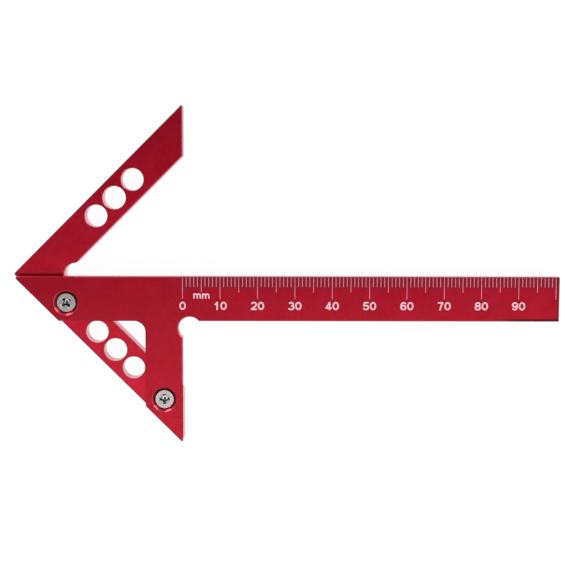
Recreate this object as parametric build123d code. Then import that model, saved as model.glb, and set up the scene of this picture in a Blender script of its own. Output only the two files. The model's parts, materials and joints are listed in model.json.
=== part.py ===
from build123d import *
import os
from math import cos, radians, sin, tan

# Centre-finding square: a V-shaped base plate, a T-shaped rule blade screwed on top of its lower arm,
# and the two countersunk screws. Outlines are drawn from the datum, which is the scale's zero: the fence
# plane (the arm ends) is x = 0, the bisector of the V is y = 0 and the underside is z = 0. The pieces are
# then shifted along x so that the origin lies below the middle of the tool.

# V-shaped base plate
apex_depth = 45.5  # point of the V to the fence plane
half_angle = 45.0  # each arm to the bisector
arm_width = 9.8
base_thickness = 5.0
vee_relief_diameter = 6.0
cusp_round = 1.0  # where the relief runs out into the inner faces of the V
arm_hole_diameter = 6.0
middle_hole_diameter = 6.2
hole_web = 0.8  # metal left between neighbouring holes
hole_inset = 4.7  # outer edge of the arm to the middle of the row of holes
row_station = 33.7  # point of the V, along the arm, to the middle hole

# Rule blade
blade_thickness = 3.0
scale_length = 100.0
scale_margin = 1.0  # blade beyond the last graduation
rule_width = 12.0
rule_setback = 0.35  # ruling edge behind the bisector, for the width of a pencil line
leg_width = 10.0
window_fillet = 3.0
corner_relief_diameter = 6.2

# Both plates
relief_inset = 1.93  # centre of each round relief, in from the two edges of its corner
point_round = 0.5  # plan radius at the point of the V
corner_round = 0.3  # plan radius of the other corners

# Deburred edges
plate_break = 0.25
hole_break = 0.15

# M3 countersunk screws with a cross recess
thread_diameter = 3.0
thread_break = 0.3
screw_length = 6.0
head_diameter = 5.0
head_rim = 0.38  # straight rim above the cone
head_round = 0.1
recess_span = 3.1
recess_floor_span = 1.3
recess_wing = 0.85
recess_floor_wing = 0.5
recess_depth = 1.35
recess_bore = 1.7  # round middle of the recess, at the head's face
recess_floor_bore = 1.0
recess_break = 0.08  # broken edge all round the recess
apex_screw_turn = 38.0  # how far each cross came to rest from square
tip_screw_turn = 2.0

# Seats for the screws
countersink_angle = 90.0
countersink_diameter = 6.7
clearance_hole_diameter = 3.4
seat_gap = 0.03  # between the head's cone and its countersink
running_gap = 0.05  # between the thread's crest and its tapped hole

# Places that follow from the sizes above
slope = tan(radians(half_angle))
tip_reach = apex_depth * slope  # bisector to the tip of each arm
inner_corner_x = arm_width / sin(radians(half_angle)) - apex_depth
blade_end_x = scale_length + scale_margin
rule_low_y = -rule_setback - rule_width
top_z = base_thickness + blade_thickness
point_x = point_round * (1 / sin(radians(half_angle)) - 1) - apex_depth  # the point, once rounded
origin_x = (blade_end_x + point_x) / 2


def arm_point(station, inset, side):
    """A point of an arm: its distance from the point of the V, along the outer edge, and from that edge."""
    angle = radians(half_angle)
    x = station * cos(angle) + inset * sin(angle) - apex_depth
    y = station * sin(angle) - inset * cos(angle)
    return x, side * y


# Both screws sit on the lower arm's centre line: one half an arm's width above the rule's lower edge,
# the other in the middle of the leg.
apex_screw_station = (arm_width / 2 * cos(radians(half_angle)) - rule_low_y - arm_width / 2) / sin(
    radians(half_angle)
)
tip_screw_station = (apex_depth - leg_width / 2 - arm_width / 2 * sin(radians(half_angle))) / cos(
    radians(half_angle)
)
hole_pitch = (arm_hole_diameter + middle_hole_diameter) / 2 + hole_web
screw_points = {
    "blade_screw_apex": (arm_point(apex_screw_station, arm_width / 2, -1), apex_screw_turn),
    "blade_screw_tip": (arm_point(tip_screw_station, arm_width / 2, -1), tip_screw_turn),
}


def rounded(outline, point, inner_corners):
    """The outline with its corners rounded, more at the point and not at all at the inner corners."""
    corners = outline.vertices().sort_by_distance(point)
    inner = [corners.sort_by_distance(place)[0] for place in inner_corners]
    others = [corner for corner in corners[1:] if corner not in inner]
    outline = fillet(others, corner_round)
    return fillet(outline.vertices().sort_by_distance(point)[0], point_round)


def plate(outline, thickness):
    """A deburred plate of the given outline, lying on z = 0."""
    solid = extrude(outline, thickness, dir=(0, 0, 1))
    faces = solid.faces().sort_by(Axis.Z)
    rims = faces[0].outer_wire().edges() + faces[-1].outer_wire().edges()
    return chamfer(rims, plate_break)


def bore(diameter, low, high, rim):
    """The cutter for a round hole from low to high, with a broken edge at both ends."""
    body = Pos(0, 0, low) * Cylinder(
        diameter / 2, high - low, align=(Align.CENTER, Align.CENTER, Align.MIN)
    )
    flare = Cone(diameter / 2, diameter / 2 + 2 * rim, 2 * rim)
    return body + Pos(0, 0, high) * flare + Pos(0, 0, low) * Rot(180, 0, 0) * flare


def make_base():
    arms = Polygon(
        (-apex_depth, 0),
        (0, -tip_reach),
        (0, inner_corner_x * slope),
        (inner_corner_x, 0),
        (0, -inner_corner_x * slope),
        (0, tip_reach),
        align=None,
    )
    inner_corner = (inner_corner_x, 0)
    arms = rounded(arms, (-apex_depth, 0), [inner_corner])
    relief_x = inner_corner_x + relief_inset / sin(radians(half_angle))
    arms -= Pos(relief_x, 0) * Circle(vee_relief_diameter / 2)
    cusps = arms.vertices().sort_by_distance(inner_corner)[:2]
    base = plate(fillet(cusps, cusp_round), base_thickness)
    for side in (1, -1):
        for step in (-1, 0, 1):
            diameter = arm_hole_diameter if step else middle_hole_diameter
            x, y = arm_point(row_station + step * hole_pitch, hole_inset, side)
            base -= Pos(x, y) * bore(diameter, 0, base_thickness, hole_break)
    for (x, y), _ in screw_points.values():
        tapped = thread_diameter + 2 * running_gap
        base -= Pos(x, y) * bore(tapped, 0, base_thickness, hole_break)
    return base


def make_blade():
    def on_outer_edge(y):
        return -y / slope - apex_depth, y

    outline = Polygon(
        on_outer_edge(-rule_setback),
        (blade_end_x, -rule_setback),
        (blade_end_x, rule_low_y),
        (0, rule_low_y),
        (0, -tip_reach),
        on_outer_edge((leg_width - apex_depth) * slope),
        (-leg_width, rule_low_y),
        on_outer_edge(rule_low_y),
        align=None,
    )
    window_corner = (-leg_width, rule_low_y)
    outline = rounded(outline, on_outer_edge(-rule_setback), [window_corner, (0, rule_low_y)])
    outline = fillet(outline.vertices().sort_by_distance(window_corner)[0], window_fillet)
    relief = Pos(relief_inset, rule_low_y - relief_inset) * Circle(corner_relief_diameter / 2)
    blade = Pos(0, 0, base_thickness) * plate(outline - relief, blade_thickness)
    sunk_hole = CounterSinkHole(
        clearance_hole_diameter / 2, countersink_diameter / 2, blade_thickness, countersink_angle
    )
    for (x, y), _ in screw_points.values():
        blade -= Pos(x, y, top_z) * sunk_hole
    return blade


def cross(span, wing):
    return Rectangle(span, wing) + Rectangle(wing, span)


def make_recess():
    """The cutter for a cross recess whose mouth lies on z = 0."""
    mouth_span, mouth_wing = recess_span + 2 * recess_break, recess_wing + 2 * recess_break
    wings = loft(
        [
            Pos(0, 0, -recess_depth) * cross(recess_floor_span, recess_floor_wing),
            cross(recess_span, recess_wing),
        ]
    )
    middle = Cone(
        recess_floor_bore / 2,
        recess_bore / 2,
        recess_depth,
        align=(Align.CENTER, Align.CENTER, Align.MAX),
    )
    flare = loft(
        [
            Pos(0, 0, -recess_break) * cross(recess_span, recess_wing),
            cross(mouth_span, mouth_wing),
        ]
    )
    middle_flare = Cone(
        recess_bore / 2,
        recess_bore / 2 + recess_break,
        recess_break,
        align=(Align.CENTER, Align.CENTER, Align.MAX),
    )
    return wings + middle + flare + middle_flare


def make_screw(turn):
    """A screw standing on its countersunk seat, with its axis on x = y = 0."""
    half_cone = tan(radians(countersink_angle / 2))
    rim_z = top_z - (countersink_diameter - head_diameter - 2 * seat_gap) / 2 / half_cone
    head_z = rim_z + head_rim
    neck_z = rim_z - (head_diameter - thread_diameter) / 2 / half_cone
    end_z = head_z - screw_length
    head, thread = head_diameter / 2, thread_diameter / 2
    profile = Polyline(
        (0, end_z),
        (thread - thread_break, end_z),
        (thread, end_z + thread_break),
        (thread, neck_z),
        (head, rim_z),
        (head, head_z),
        (0, head_z),
        close=True,
    )
    screw = revolve(Plane.XZ * make_face(profile), Axis.Z)
    rim = screw.edges().filter_by(GeomType.CIRCLE).group_by(Axis.Z)[-1]
    screw = fillet(rim, head_round)
    return screw - Pos(0, 0, head_z) * Rot(0, 0, turn) * make_recess()


pieces = {"v_base": make_base(), "rule_blade": make_blade()}
for name, ((x, y), turn) in screw_points.items():
    pieces[name] = Pos(x, y) * make_screw(turn)

os.makedirs("parts", exist_ok=True)
for name, piece in pieces.items():
    export_step(Pos(-origin_x, 0) * piece, f"parts/{name}.step")
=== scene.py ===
import json
import math

import bmesh
import bpy
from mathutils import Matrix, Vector
from mathutils.geometry import delaunay_2d_cdt


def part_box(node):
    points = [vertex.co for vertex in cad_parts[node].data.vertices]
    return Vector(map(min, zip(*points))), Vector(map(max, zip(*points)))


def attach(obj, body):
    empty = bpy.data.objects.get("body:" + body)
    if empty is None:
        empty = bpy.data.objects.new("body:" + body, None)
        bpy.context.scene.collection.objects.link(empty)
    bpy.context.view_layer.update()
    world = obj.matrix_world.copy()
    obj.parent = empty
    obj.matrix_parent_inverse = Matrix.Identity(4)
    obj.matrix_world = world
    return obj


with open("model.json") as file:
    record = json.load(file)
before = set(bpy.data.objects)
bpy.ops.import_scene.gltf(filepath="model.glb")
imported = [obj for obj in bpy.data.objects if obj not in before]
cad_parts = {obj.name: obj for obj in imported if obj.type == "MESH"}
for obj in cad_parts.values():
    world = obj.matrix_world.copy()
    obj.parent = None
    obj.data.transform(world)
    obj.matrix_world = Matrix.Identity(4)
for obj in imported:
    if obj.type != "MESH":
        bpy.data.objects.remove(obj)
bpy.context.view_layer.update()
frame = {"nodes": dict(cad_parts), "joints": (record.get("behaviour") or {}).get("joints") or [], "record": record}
print("frame loaded:", ", ".join(sorted(frame["nodes"])))

mm = 0.001
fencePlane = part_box("v_base")[1].x  # the arm ends, and the scale's zero
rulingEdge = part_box("rule_blade")[1].y
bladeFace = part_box("rule_blade")[1].z
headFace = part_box("blade_screw_tip")[1].z
screwAxis = {joint["child"]: joint["pos_m"] for joint in frame["joints"]}


# A socket that can stand in arithmetic: each operator adds a Math node
class Wire:
    def __init__(self, graph, socket):
        self.graph = graph
        self.socket = socket

    def maths(self, operation, *terms):
        return self.graph.node("Math", {"operation": operation}, dict(enumerate(terms)))

    def __add__(self, other):
        return self.maths("ADD", self, other)

    def __sub__(self, other):
        return self.maths("SUBTRACT", self, other)

    def __rsub__(self, other):
        return self.maths("SUBTRACT", other, self)

    def __mul__(self, other):
        return self.maths("MULTIPLY", self, other)

    def __lt__(self, other):
        return self.maths("LESS_THAN", self, other)

    def __gt__(self, other):
        return self.maths("GREATER_THAN", self, other)

    def __abs__(self):
        return self.maths("ABSOLUTE", self)

    __radd__ = __add__
    __rmul__ = __mul__

    def atLeast(self, limit):
        return self.maths("MAXIMUM", self, limit)

    def sine(self):
        return self.maths("SINE", self)


# The node tree of a material or of the world
class Graph:
    def __init__(self, owner):
        owner.use_nodes = True
        self.tree = owner.node_tree
        self.tree.nodes.clear()

    def node(self, kind, settings=None, sockets=None, output=0):
        made = self.tree.nodes.new("ShaderNode" + kind)
        for name, value in (settings or {}).items():
            setattr(made, name, value)
        for name, value in (sockets or {}).items():
            socket = made.inputs[name]
            if isinstance(value, Wire):
                self.tree.links.new(value.socket, socket)
            else:
                socket.default_value = (*value, 1) if socket.type == "RGBA" else value
        return Wire(self, made.outputs[output]) if made.outputs else None

    def mix(self, mask, low, high):  # 6 and 7 are the node's colour inputs, and 2 is its colour output
        return self.node("Mix", {"data_type": "RGBA"}, {0: mask, 6: low, 7: high}, 2)

    def place(self, origin=(0, 0, 0)):  # object coordinates in millimetres
        here = self.node("TexCoord", output="Object")
        shifted = self.node("VectorMath", {"operation": "SUBTRACT"}, {0: here, 1: origin})
        return self.node("VectorMath", {"operation": "SCALE"}, {0: shifted, "Scale": 1 / mm})

    def noise(self, place, grain, stretch=(1, 1, 1), detail=2.0):
        along = self.node("VectorMath", {"operation": "MULTIPLY"}, {0: place, 1: stretch})
        return self.node("TexNoise", {}, {"Vector": along, "Scale": 1 / grain, "Detail": detail})

    def part(self, vector, axis):
        return self.node("SeparateXYZ", {}, {0: vector}, axis)

    def radius(self, place):
        flat = self.node("VectorMath", {"operation": "MULTIPLY"}, {0: place, 1: (1, 1, 0)})
        return self.node("VectorMath", {"operation": "LENGTH"}, {0: flat}, "Value")

    def tilt(self, axis):  # how much a face looks along an axis, from -1 to 1
        return self.part(self.node("NewGeometry", output="True Normal"), axis)

    def bump(self, relief):  # relief in millimetres
        return self.node("Bump", {}, {"Distance": mm, "Height": relief})


def scaled(channels, share):
    return tuple(channel * share for channel in channels)


def newMaterial(name):
    material = bpy.data.materials.new(name)
    return material, Graph(material)


def link(thing):
    bpy.context.scene.collection.objects.link(thing)
    return thing


def meshPiece(name, shape, material):
    mesh = bpy.data.meshes.new(name)
    bmesh.ops.recalc_face_normals(shape, faces=shape.faces)
    shape.to_mesh(mesh)
    shape.free()
    mesh.materials.append(material)
    return link(bpy.data.objects.new(name, mesh))


def dress(node, material):
    for slot in frame["nodes"][node].material_slots:
        slot.material = material


# The camera looks almost straight down on the tool
lens = {
    "eye": (23.675, 29.302, 343.435),  # mm: past the scale's zero, across the blade and up from the floor
    "turn": (-0.0971, -0.0133, 0.0019),  # radians, about x, then y, then z of the turned camera
    "focal": 78.85,
    "sensor": 36.0,
    "clip": 0.01,  # metres
}


def makeCamera():
    camera = link(bpy.data.objects.new("camera", bpy.data.cameras.new("camera")))
    camera.location = scaled(lens["eye"], mm)
    camera.location.x += fencePlane
    camera.rotation_mode = "ZYX"
    camera.rotation_euler = lens["turn"]
    camera.data.lens = lens["focal"]
    camera.data.sensor_width = lens["sensor"]
    camera.data.clip_start = lens["clip"]
    bpy.context.scene.camera = camera
    bpy.context.scene.view_settings.view_transform = "Standard"


makeCamera()
print("camera set")

# A pale floor, a sky, one large soft light overhead and two low strips
studio = {
    "floorSize": 8.0,  # metres
    "floorGap": 0.00002,  # below the tool
    "floorTone": (0.9, 0.9, 0.9),
    "glow": 1.04,  # the floor's own brightness, where it is seen
    "glowShare": 0.92,  # the rest is lit, and takes the tool's shadow
    "horizon": 0.95,  # the sky's brightness there, which falls to nothing overhead
    "midSky": 0.6,  # added halfway up, for what shows in the faces from the sides
    "midHeight": 0.58,
    "midSpread": 0.34,
    "lightHeight": 2.5,
    "lightCentre": (0.345, -0.696),  # per metre of height
    "lightHalf": (0.712, 0.581),  # half its length and width, also per metre of height
    "lightLevel": 2.35,
    "strips": {"back_right_strip": 40, "back_left_strip": 118},  # degrees round from +x
    "stripDistance": 1.6,
    "stripSize": (0.86, 0.4),
    "stripLevel": 3.2,
}


def makeFloor():
    material, graph = newMaterial("pale_floor")
    kinds = ("Is Camera Ray", "Is Glossy Ray", "Is Transmission Ray")
    seen = sum(graph.node("LightPath", output=kind) for kind in kinds)
    matt = graph.node("BsdfDiffuse", {}, {"Color": studio["floorTone"]})
    glow = graph.node("Emission", {}, {"Strength": studio["glow"]})
    shader = graph.node("MixShader", {}, {0: seen * studio["glowShare"], 1: matt, 2: glow})
    graph.node("OutputMaterial", {}, {"Surface": shader})
    shape = bmesh.new()
    half = studio["floorSize"] / 2
    corners = [(-half, -half), (half, -half), (half, half), (-half, half)]
    shape.faces.new([shape.verts.new((x, y, -studio["floorGap"])) for x, y in corners])
    meshPiece("floor", shape, material)


def makeSky():
    world = bpy.data.worlds.new("studio")
    bpy.context.scene.world = world
    graph = Graph(world)
    height = graph.part(graph.node("TexCoord", output="Generated"), "Z")
    middle = 1 - abs(height - studio["midHeight"]) * (1 / studio["midSpread"])
    level = studio["horizon"] * (1 - height.atLeast(0)) + studio["midSky"] * middle.atLeast(0)
    seen = graph.node("LightPath", output="Is Camera Ray")
    shader = graph.node("Background", {}, {"Strength": seen + (1 - seen) * level})
    graph.node("OutputWorld", {}, {"Surface": shader})


def makePanel(name, size, level, location, turn=(0, 0, 0)):
    panel = bpy.data.lights.new(name, "AREA")
    panel.shape = "RECTANGLE"
    panel.size, panel.size_y = size
    panel.energy = level * math.pi * size[0] * size[1]  # watts, for how bright its face is
    light = link(bpy.data.objects.new(name, panel))
    light.location = location
    light.rotation_euler = turn
    light.visible_camera = False


def makeOverhead():
    height = studio["lightHeight"]
    size = scaled(studio["lightHalf"], 2 * height)
    place = (*scaled(studio["lightCentre"], height), height)
    makePanel("overhead_panel", size, studio["lightLevel"], place)


def makeStrips():  # two low panels that stand on the floor behind the tool
    reach = studio["stripDistance"]
    for name, bearing in studio["strips"].items():
        angle = math.radians(bearing)
        place = (reach * math.cos(angle), reach * math.sin(angle), studio["stripSize"][1] / 2)
        turn = (math.pi / 2, 0, angle + math.pi / 2)
        makePanel(name, studio["stripSize"], studio["stripLevel"], place, turn)


makeFloor()
makeSky()
makeOverhead()
makeStrips()
print("studio set")

# Red anodising, for both plates: blasted faces, milled walls, broken edges and countersinks
anodising = {
    "tint": {"grain": 5.0, "detail": 3.0},  # mm across, the patches in which the red turns more or less blue
    "tintShares": ((1, 0.4, 0.5), (1, 1.6, 1.5)),
    "clouds": {"grain": 7.0, "detail": 4.0},
    "mottle": {"grain": 0.9, "detail": 3.0},
    "blast": {"grain": 0.13, "detail": 1.0},
    "blastDepth": 0.004,  # mm
    "mill": {"grain": 0.09, "stretch": (1, 1, 0.06)},
    "millDepth": 0.006,
    "paleShares": (0.35, 0.5, 0.15),  # of the clouds, the mottle and the blast
    "paleRange": (0.6, 1.48),  # what the dye is scaled by, from the darkest spot to the palest
    "wallFacing": 0.3,  # a face that looks up or down by less than this is a wall
    "levelFacing": 0.95,  # and one that does so by more than this is level
    "wallDye": (0.78, 0.024, 0.08),  # the milled walls are brighter than the blasted faces
    "shadedFootDye": (0.42, 0.02, 0.05),
    "footShadeHeight": 1.4,  # mm, the lowest part of each wall, which gets painted shade where the wall meets the floor
    "shadedRimDye": (0.15, 0.0035, 0.016),  # painted shade on the broken edges, dark where they lean towards the point
    "litRimDye": (0.58, 0.16, 0.24),  # and painted light on them where they lean towards the free end
    "rimLightShare": 0.45,  # how much painted light one gets that leans neither way
    "rimLightRate": 1.1,
    "sinkRadius": 3.45,  # mm, just past the countersinks
    # a paler dye on the countersinks' outer band, for the cut metal there and to whiten the lamps' highlights on
    # it: partly painted highlight
    "sinkDye": (0.92, 0.17, 0.25),
    "sinkShadeDye": (0.34, 0.004, 0.014),
    "sinkShadeDepths": (0.03, 0.22),  # mm, over which the countersinks turn dark beside the heads: painted shade
    "roughness": (0.38, 0.28, 0.2),  # of the faces, the walls and the countersinks
    "blastSwing": 0.06,  # how far the roughness swings with the blast
    "cloudSwing": 0.05,
    "coat": (0.12, 0.4, 0.4),  # the clear oxide over the metal
    "coatRoughness": 0.2,
}


def fadeOut(value, band):  # 1 below the band, 0 above it, once it is used as a mask
    start, end = band
    return (end - value) * (1 / (end - start))


def tinged(dye, shares):  # red, green and blue, each by its own share
    return tuple(channel * share for channel, share in zip(dye, shares))


def byZone(values, wall, sink):  # one value for the faces, one for the walls and one for the countersinks
    face, onWall, inSink = values
    return face + wall * (onWall - face) + sink * (inSink - face)


def anodised(name, dye, sinks=(), overArm=None, faceShade=None, endShade=None):
    material, graph = newMaterial(name)
    place = graph.place()
    height = graph.part(place, "Z")
    facing = abs(graph.tilt("Z"))
    wall = facing < anodising["wallFacing"]
    slope = (facing < anodising["levelFacing"]) * (1 - wall)
    sink = slope * sum(graph.radius(graph.place(axis)) < anodising["sinkRadius"] for axis in sinks)
    rim = slope - sink

    blast = graph.noise(place, **anodising["blast"])
    mottle = graph.noise(place, **anodising["mottle"])
    clouds = graph.noise(place, **anodising["clouds"])
    cloudShare, mottleShare, blastShare = anodising["paleShares"]
    pale = cloudShare * clouds + mottleShare * mottle + blastShare * blast
    darkest, palest = anodising["paleRange"]
    strength = darkest + (palest - darkest) * pale
    warm, cool = (tinged(dye, shares) for shares in anodising["tintShares"])
    tinted = graph.mix(graph.noise(place, **anodising["tint"]), warm, cool)
    colour = graph.node("VectorMath", {"operation": "SCALE"}, {0: tinted, "Scale": strength})
    if faceShade:
        colour = faceShade(graph, place, colour)
    if overArm:
        colour, over = overArm(graph, place, colour, slope)
        rim = rim * (1 - over)
    # painted light and shade on the broken edges, paler where they lean towards the free end
    rimLight = anodising["rimLightShare"] + anodising["rimLightRate"] * graph.tilt("X")
    rimLightAndShade = graph.mix(rimLight, anodising["shadedRimDye"], anodising["litRimDye"])
    colour = graph.mix(rim, colour, rimLightAndShade)
    if endShade:
        colour = endShade(graph, place, colour)
    # painted shade on the lowest part of each wall, where it meets the floor
    foot = height < anodising["footShadeHeight"]
    wallColour = graph.mix(foot, anodising["wallDye"], anodising["shadedFootDye"])
    colour = graph.mix(wall, colour, wallColour)
    # painted shade in the countersinks beside the heads
    unshadedSink = fadeOut(bladeFace / mm - height, anodising["sinkShadeDepths"])
    sinkColour = graph.mix(unshadedSink, anodising["sinkShadeDye"], anodising["sinkDye"])
    colour = graph.mix(sink, colour, sinkColour)

    uneven = anodising["blastSwing"] * (blast - 0.5) + anodising["cloudSwing"] * (clouds - 0.5)
    mill = graph.noise(place, **anodising["mill"])
    relief = blast * (1 - wall) * anodising["blastDepth"] + mill * wall * anodising["millDepth"]
    shader = graph.node("BsdfPrincipled", {}, {
        "Base Color": colour,
        "Metallic": 1.0,
        "Roughness": byZone(anodising["roughness"], wall, sink) + uneven,
        "Normal": graph.bump(relief),
        "Coat Weight": byZone(anodising["coat"], wall, sink),
        "Coat Roughness": anodising["coatRoughness"],
    })
    graph.node("OutputMaterial", {}, {"Surface": shader})
    return material


vBase = {
    "dye": (0.438, 0.0076, 0.0242),
    "paintedLightDye": (0.66, 0.017, 0.052),  # painted light beside the blade, which lifts the shade that the blade casts on the arm
    "besideBand": (0.6, 1.3),  # mm from the ruling edge, where that fades out
    "besideStart": -43.9,  # mm past the scale's zero
}


# painted light on the arm's face beside the blade's ruling edge
def besideBlade(graph, place, colour):
    fromEdge = graph.part(place, "Y") - rulingEdge / mm
    pastPoint = graph.part(place, "X") > fencePlane / mm + vBase["besideStart"]
    mask = fadeOut(fromEdge, vBase["besideBand"]) * (fromEdge > 0) * pastPoint
    return graph.mix(mask, colour, vBase["paintedLightDye"])


dress("v_base", anodised("red_anodised_base", vBase["dye"], faceShade=besideBlade))

ruleBlade = {
    "dye": (0.333, 0.0046, 0.0163),
    "width": 12.0,  # mm
    "armBand": (0.8, 11.0),  # mm from the lower arm's outer edge, which the blade's slanting ends keep to
    "leaningTilt": -0.3,  # broken edges there that lean further than this towards the point get painted light
    "leaningLightDye": (0.45, 0.008, 0.028),
    "markShades": (  # dye that the laser has darkened between its lines, then painted shade along the ruling edge; and mm from the ruling edge
        ((0.235, 0.0095, 0.025), (2.3, 3.8)),
        # painted shade along the ruling edge
        ((0.17, 0.009, 0.027), (0.4, 0.6)),
    ),
    "endDye": (0.09, 0.002, 0.009),
    "endStart": (83.0, 91.0),  # mm past the scale's zero, where the lower edge turns dark
    "endDepth": 0.65,  # mm up from the lower edge
    "tipStart": 99.9,  # and where the whole width starts to
    "tipRate": 0.65,
}


def overLowerArm(graph, place, colour, slope):  # the blade's broken edges that stand over the arm: painted light where they lean towards the point, and none of the painted edge shade
    outerEdge = (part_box("v_base")[0].y + fencePlane) / mm
    fromEdge = (graph.part(place, "X") + graph.part(place, "Y") - outerEdge) * math.sqrt(0.5)
    near, far = ruleBlade["armBand"]
    over = (fromEdge > near) * (fromEdge < far)
    leaning = over * slope * (graph.tilt("X") < ruleBlade["leaningTilt"])
    return graph.mix(leaning, colour, ruleBlade["leaningLightDye"]), over


def underMarks(graph, place, colour):
    fromEdge = rulingEdge / mm - graph.part(place, "Y")
    pastZero = graph.part(place, "X") > fencePlane / mm
    for dye, band in ruleBlade["markShades"]:
        colour = graph.mix(fadeOut(fromEdge, band) * pastZero, colour, dye)
    return colour


def atFreeEnd(graph, place, colour):
    along = graph.part(place, "X") - fencePlane / mm
    fromLowEdge = graph.part(place, "Y") - (rulingEdge / mm - ruleBlade["width"])
    lowEdge = (1 - fadeOut(along, ruleBlade["endStart"])) * (fromLowEdge < ruleBlade["endDepth"])
    tip = (along - ruleBlade["tipStart"]) * ruleBlade["tipRate"]
    for mask in (lowEdge, tip):
        colour = graph.mix(mask, colour, ruleBlade["endDye"])
    return colour


bladeFinish = anodised(
    "red_anodised_blade",
    ruleBlade["dye"],
    sinks=screwAxis.values(),
    overArm=overLowerArm,
    faceShade=underMarks,
    endShade=atFreeEnd,
)
dress("rule_blade", bladeFinish)
print("plates dressed")

# Zinc-plated screws: turned rings on the head's face, and a recess with painted light and shade: painted
# highlights on one side and on its broken edge, painted shade in its depths
zinc = {
    "rimTone": (0.385, 0.325, 0.325),
    "innerTone": (0.275, 0.275, 0.27),
    "toneBand": (1.2, 1.9),  # mm from the screw's axis, where the face turns from one to the other
    "grain": 0.1,  # mm
    "mottle": 0.45,
    "ringPitch": 0.14,
    "ringWander": 2.0,  # radians
    "ringDepth": 0.0012,
    "roughness": 0.3,
    "roughnessSwing": 0.12,
    "recessRadius": 1.8,
    "edgeDepth": 0.01,  # mm below the head's face, where the recess's broken edge starts
    # a painted glint on the recess's broken edge
    "edgeGlintTone": (0.95, 0.93, 0.95),
    "recessDepth": 0.1,
    # painted shade in the recess, darkest nearest the axis
    "recessShadeTone": (0.08, 0.085, 0.08),
    "deepShadeTone": (0.02, 0.022, 0.02),
    # a painted highlight on the part that catches the light
    "litTone": (0.56, 0.53, 0.56),
    "litBand": (0.4, 0.98),  # mm from the screw's axis, the part of the recess that catches the light
    "litFoot": -0.3,  # mm across the blade, where that part ends
    "litWingTone": (0.5, 0.52, 0.52),  # painted light on the ends of the recess's upper wings
    "wingFoot": -0.6,
    "recessRoughness": 0.16,
    "recessGrain": 0.3,
    "recessBump": 0.03,
}


def zincSteel(name, axis):
    material, graph = newMaterial(name)
    place = graph.place((*axis[:2], headFace))
    radius = graph.radius(place)
    across = graph.part(place, "Y")
    height = graph.part(place, "Z")
    inner = radius < zinc["recessRadius"]
    onEdge = inner * (height < -zinc["edgeDepth"])
    inRecess = inner * (height < -zinc["recessDepth"])

    grain = graph.noise(place, zinc["grain"])
    mottle = graph.noise(place, zinc["mottle"])
    towardsAxis = fadeOut(radius, zinc["toneBand"]) - (mottle - 0.5)
    colour = graph.mix(towardsAxis, zinc["rimTone"], zinc["innerTone"])
    # painted glint, highlights and shade in the recess
    colour = graph.mix(onEdge, colour, zinc["edgeGlintTone"])
    near, far = zinc["litBand"]
    lit = (radius > near) * (radius < far) * (across > zinc["litFoot"])
    wing = (radius > far) * (across > zinc["wingFoot"])
    recess = graph.mix(wing, zinc["recessShadeTone"], zinc["litWingTone"])
    recess = graph.mix(radius < near, recess, zinc["deepShadeTone"])
    recess = graph.mix(lit, recess, zinc["litTone"])
    colour = graph.mix(inRecess, colour, recess)

    rings = (radius * (2 * math.pi / zinc["ringPitch"]) + zinc["ringWander"] * grain).sine()
    dents = graph.noise(place, zinc["recessGrain"]) * zinc["recessBump"]
    relief = (rings + grain) * (1 - inRecess) * zinc["ringDepth"] + dents * inRecess
    roughness = zinc["roughness"] + zinc["roughnessSwing"] * (grain - 0.5)
    shader = graph.node("BsdfPrincipled", {}, {
        "Base Color": colour,
        "Metallic": 1.0,
        "Roughness": roughness + inRecess * (zinc["recessRoughness"] - zinc["roughness"]),
        "Normal": graph.bump(relief),
    })
    graph.node("OutputMaterial", {}, {"Surface": shader})
    return material


for body, axis in screwAxis.items():
    for node in frame["record"]["behaviour"]["bodies"][body]:
        dress(node, zincSteel("zinc_steel_" + body, axis))
print("screws dressed")

# The scale: graduations and numbers, laser-marked through the red on the blade's face
scale = {
    "count": 100,
    "figureStep": 10,
    "lengths": {10: 6.0, 5: 4.2, 1: 2.8},  # mm from the ruling edge, for every tenth, fifth and single mark
    "edgeGap": 0.27,  # from the ruling edge, past its broken edge
    "lineWidth": 0.13,
    "roundSteps": 6,
    "inkHeight": 0.012,
    "lineTone": (1.0, 0.34, 0.46),
    "figureTone": (1.0, 0.635, 0.73),
    "shades": (0.92, 1.04),  # the tones are scaled by, from spot to spot
    "grain": 0.05,
    "bump": 0.004,
    "roughness": 0.5,
    "roughnessSwing": 0.2,
}


def laserMark(name, tone):
    material, graph = newMaterial(name)
    grain = graph.noise(graph.place(), scale["grain"])
    dark, light = (scaled(tone, shade) for shade in scale["shades"])
    shader = graph.node("BsdfPrincipled", {}, {
        "Base Color": graph.mix(grain, dark, light),
        "Roughness": scale["roughness"] + scale["roughnessSwing"] * grain,
        "Normal": graph.bump(grain * scale["bump"]),
    })
    graph.node("OutputMaterial", {}, {"Surface": shader})
    return material


def onBlade(x, y, height):  # scale coordinates in mm: along the edge, down from it, up from the face
    return fencePlane + x * mm, rulingEdge - y * mm, bladeFace + height * mm


def settleMarks(name, shape, material):
    piece = meshPiece(name, shape, material)
    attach(piece, "frame")


def addLine(shape, x, end):  # square at the ruling edge and round at its far end
    half = scale["lineWidth"] / 2
    outline = [(x - half, scale["edgeGap"]), (x + half, scale["edgeGap"])]
    for step in range(scale["roundSteps"] + 1):
        angle = math.pi * step / scale["roundSteps"]
        outline.append((x + half * math.cos(angle), end - half + half * math.sin(angle)))
    rings = []
    for height in (0, scale["inkHeight"]):
        rings.append([shape.verts.new(onBlade(*point, height)) for point in outline])
        shape.faces.new(rings[-1])
    for index, (low, high) in enumerate(zip(*rings)):
        shape.faces.new((rings[0][index - 1], rings[1][index - 1], high, low))


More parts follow.
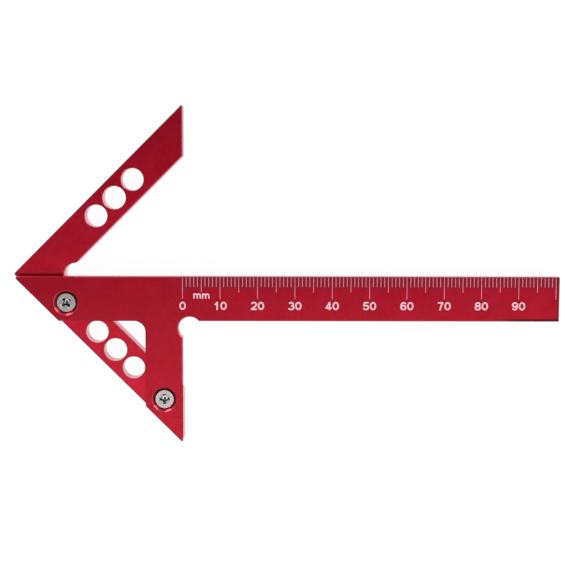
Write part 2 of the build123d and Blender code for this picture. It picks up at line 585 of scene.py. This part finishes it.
def makeGraduations():
    shape = bmesh.new()
    for mark in range(scale["count"] + 1):
        step = next(step for step in scale["lengths"] if mark % step == 0)
        addLine(shape, mark, scale["lengths"][step])
    settleMarks("scale_graduations", shape, laserMark("laser_marked_lines", scale["lineTone"]))


# In mm, and the foot of the letters is measured from the ruling edge
lettering = {
    "figures": {"height": 2.2, "advance": 1.88, "width": 1.7, "pen": 0.385, "foot": 8.95},
    "unit": {"height": 1.38, "advance": 2.3, "width": 2.0, "pen": 0.33, "foot": 5.91},
    "unitPlace": 5.04,  # along the edge, to the middle of the unit
    "arcStep": 15,  # degrees
    "weld": 0.0001,  # points nearer than this become one
}


# Letters are pen strokes, in a box that is 1 high and 2 wide from x = -1 to 1, along the middle of the pen
def arc(x, y, width, height, start, end):
    steps = max(1, round(abs(end - start) / lettering["arcStep"]))
    angles = [math.radians(start + (end - start) * step / steps) for step in range(steps + 1)]
    return [(x + width * math.cos(angle), y + height * math.sin(angle)) for angle in angles]


strokes = {
    "0": [arc(0, 0.5, 1, 0.5, 0, 360)],
    "1": [[(0.25, -0.1), (0.25, 1.1)], [(0.25, 1), (-0.1, 0.8), (-0.75, 0.66)]],
    "2": [
        [*arc(0, 0.71, 0.95, 0.29, 165, -25), (0.35, 0.38), (-0.7, 0.08), (-1, 0)],
        [(-1.15, 0), (1.15, 0)],
    ],
    "3": [arc(-0.05, 0.745, 0.85, 0.255, 160, -90), arc(-0.05, 0.245, 1, 0.27, 90, -165)],
    "4": [[(0.4, -0.1), (0.4, 1.1)], [(0.35, 1), (-1, 0.24)], [(-1.25, 0.2), (1.2, 0.2)]],
    "5": [[(1.05, 1), (-0.65, 1), (-0.85, 0.5)], arc(-0.02, 0.29, 1, 0.3, 145, -165)],
    "6": [arc(0.02, 0.285, 0.95, 0.285, 0, 360), arc(0.1, 0.5, 1.03, 0.5, 35, 205)],
    "7": [[(-1.1, 1), (1, 1)], [(0.95, 1.02), (0.2, 0.55), (-0.25, -0.12)]],
    "8": [arc(0, 0.755, 0.82, 0.245, 0, 360), arc(0, 0.255, 1, 0.265, 0, 360)],
    "9": [arc(-0.02, 0.715, 0.95, 0.285, 0, 360), arc(-0.1, 0.5, 1.03, 0.5, -145, 25)],
    "m": [
        [(-1, -0.15), (-1, 1.12)],
        [(0, -0.15), (0, 0.6)],
        [(1, -0.15), (1, 0.6)],
        arc(-0.5, 0.6, 0.5, 0.4, 180, 0),
        arc(0.5, 0.6, 0.5, 0.4, 180, 0),
    ],
}


def penQuads(points, pen):  # one quad for each step of a stroke, mitred where the steps meet
    closed = math.dist(points[0], points[-1]) < lettering["weld"]
    first, last = (points[-2], points[1]) if closed else (points[0], points[-1])
    sides = []
    for before, (x, y), after in zip([first, *points], points, [*points[1:], last]):
        steps = ((x - before[0], y - before[1]), (after[0] - x, after[1] - y))
        headings = [math.atan2(v, u) for u, v in steps if (u, v) != (0, 0)]
        turn = math.remainder(headings[-1] - headings[0], 2 * math.pi)
        across = headings[0] + turn / 2 + math.pi / 2
        reach = pen / 2 / math.cos(turn / 2)
        side = (reach * math.cos(across), reach * math.sin(across))
        sides.append(((x + side[0], y + side[1]), (x - side[0], y - side[1])))
    return [(start[1], end[1], end[0], start[0]) for start, end in zip(sides, sides[1:])]


def addText(shape, text, middle, size):
    pen = size["pen"]
    quads = []
    for index, letter in enumerate(text):
        x = middle + (index - (len(text) - 1) / 2) * size["advance"]
        for stroke in strokes[letter]:
            across = [x + u * (size["width"] - pen) / 2 for u, _ in stroke]
            down = [size["foot"] - pen / 2 - v * (size["height"] - pen) for _, v in stroke]
            quads += penQuads(list(zip(across, down)), pen)
    points = [Vector(point) for quad in quads for point in quad]
    faces = [tuple(range(4 * index, 4 * index + 4)) for index in range(len(quads))]
    cut = delaunay_2d_cdt(points, [], faces, 1, lettering["weld"])  # 1 keeps what lies inside the quads
    points, triangles, owners = cut[0], cut[2], cut[5]
    triangles = [triangle for triangle, owner in zip(triangles, owners) if owner]
    used = sorted({corner for triangle in triangles for corner in triangle})
    levels = []
    for height in (0, scale["inkHeight"]):
        levels.append({corner: shape.verts.new(onBlade(*points[corner], height)) for corner in used})
    borders = set()
    for triangle in triangles:
        for level in levels:
            shape.faces.new([level[corner] for corner in triangle])
        for edge in zip(triangle, (*triangle[1:], triangle[0])):
            borders ^= {frozenset(edge)}
    for start, end in borders:
        shape.faces.new((levels[0][start], levels[0][end], levels[1][end], levels[1][start]))


def makeFigures(material):
    shape = bmesh.new()
    for mark in range(0, scale["count"], scale["figureStep"]):
        addText(shape, str(mark), mark, lettering["figures"])
    settleMarks("scale_figures", shape, material)


def makeUnit(material):
    shape = bmesh.new()
    addText(shape, "mm", lettering["unitPlace"], lettering["unit"])
    settleMarks("scale_unit", shape, material)


makeGraduations()
figureMaterial = laserMark("laser_marked_figures", scale["figureTone"])
makeFigures(figureMaterial)
makeUnit(figureMaterial)
print("scale marked")
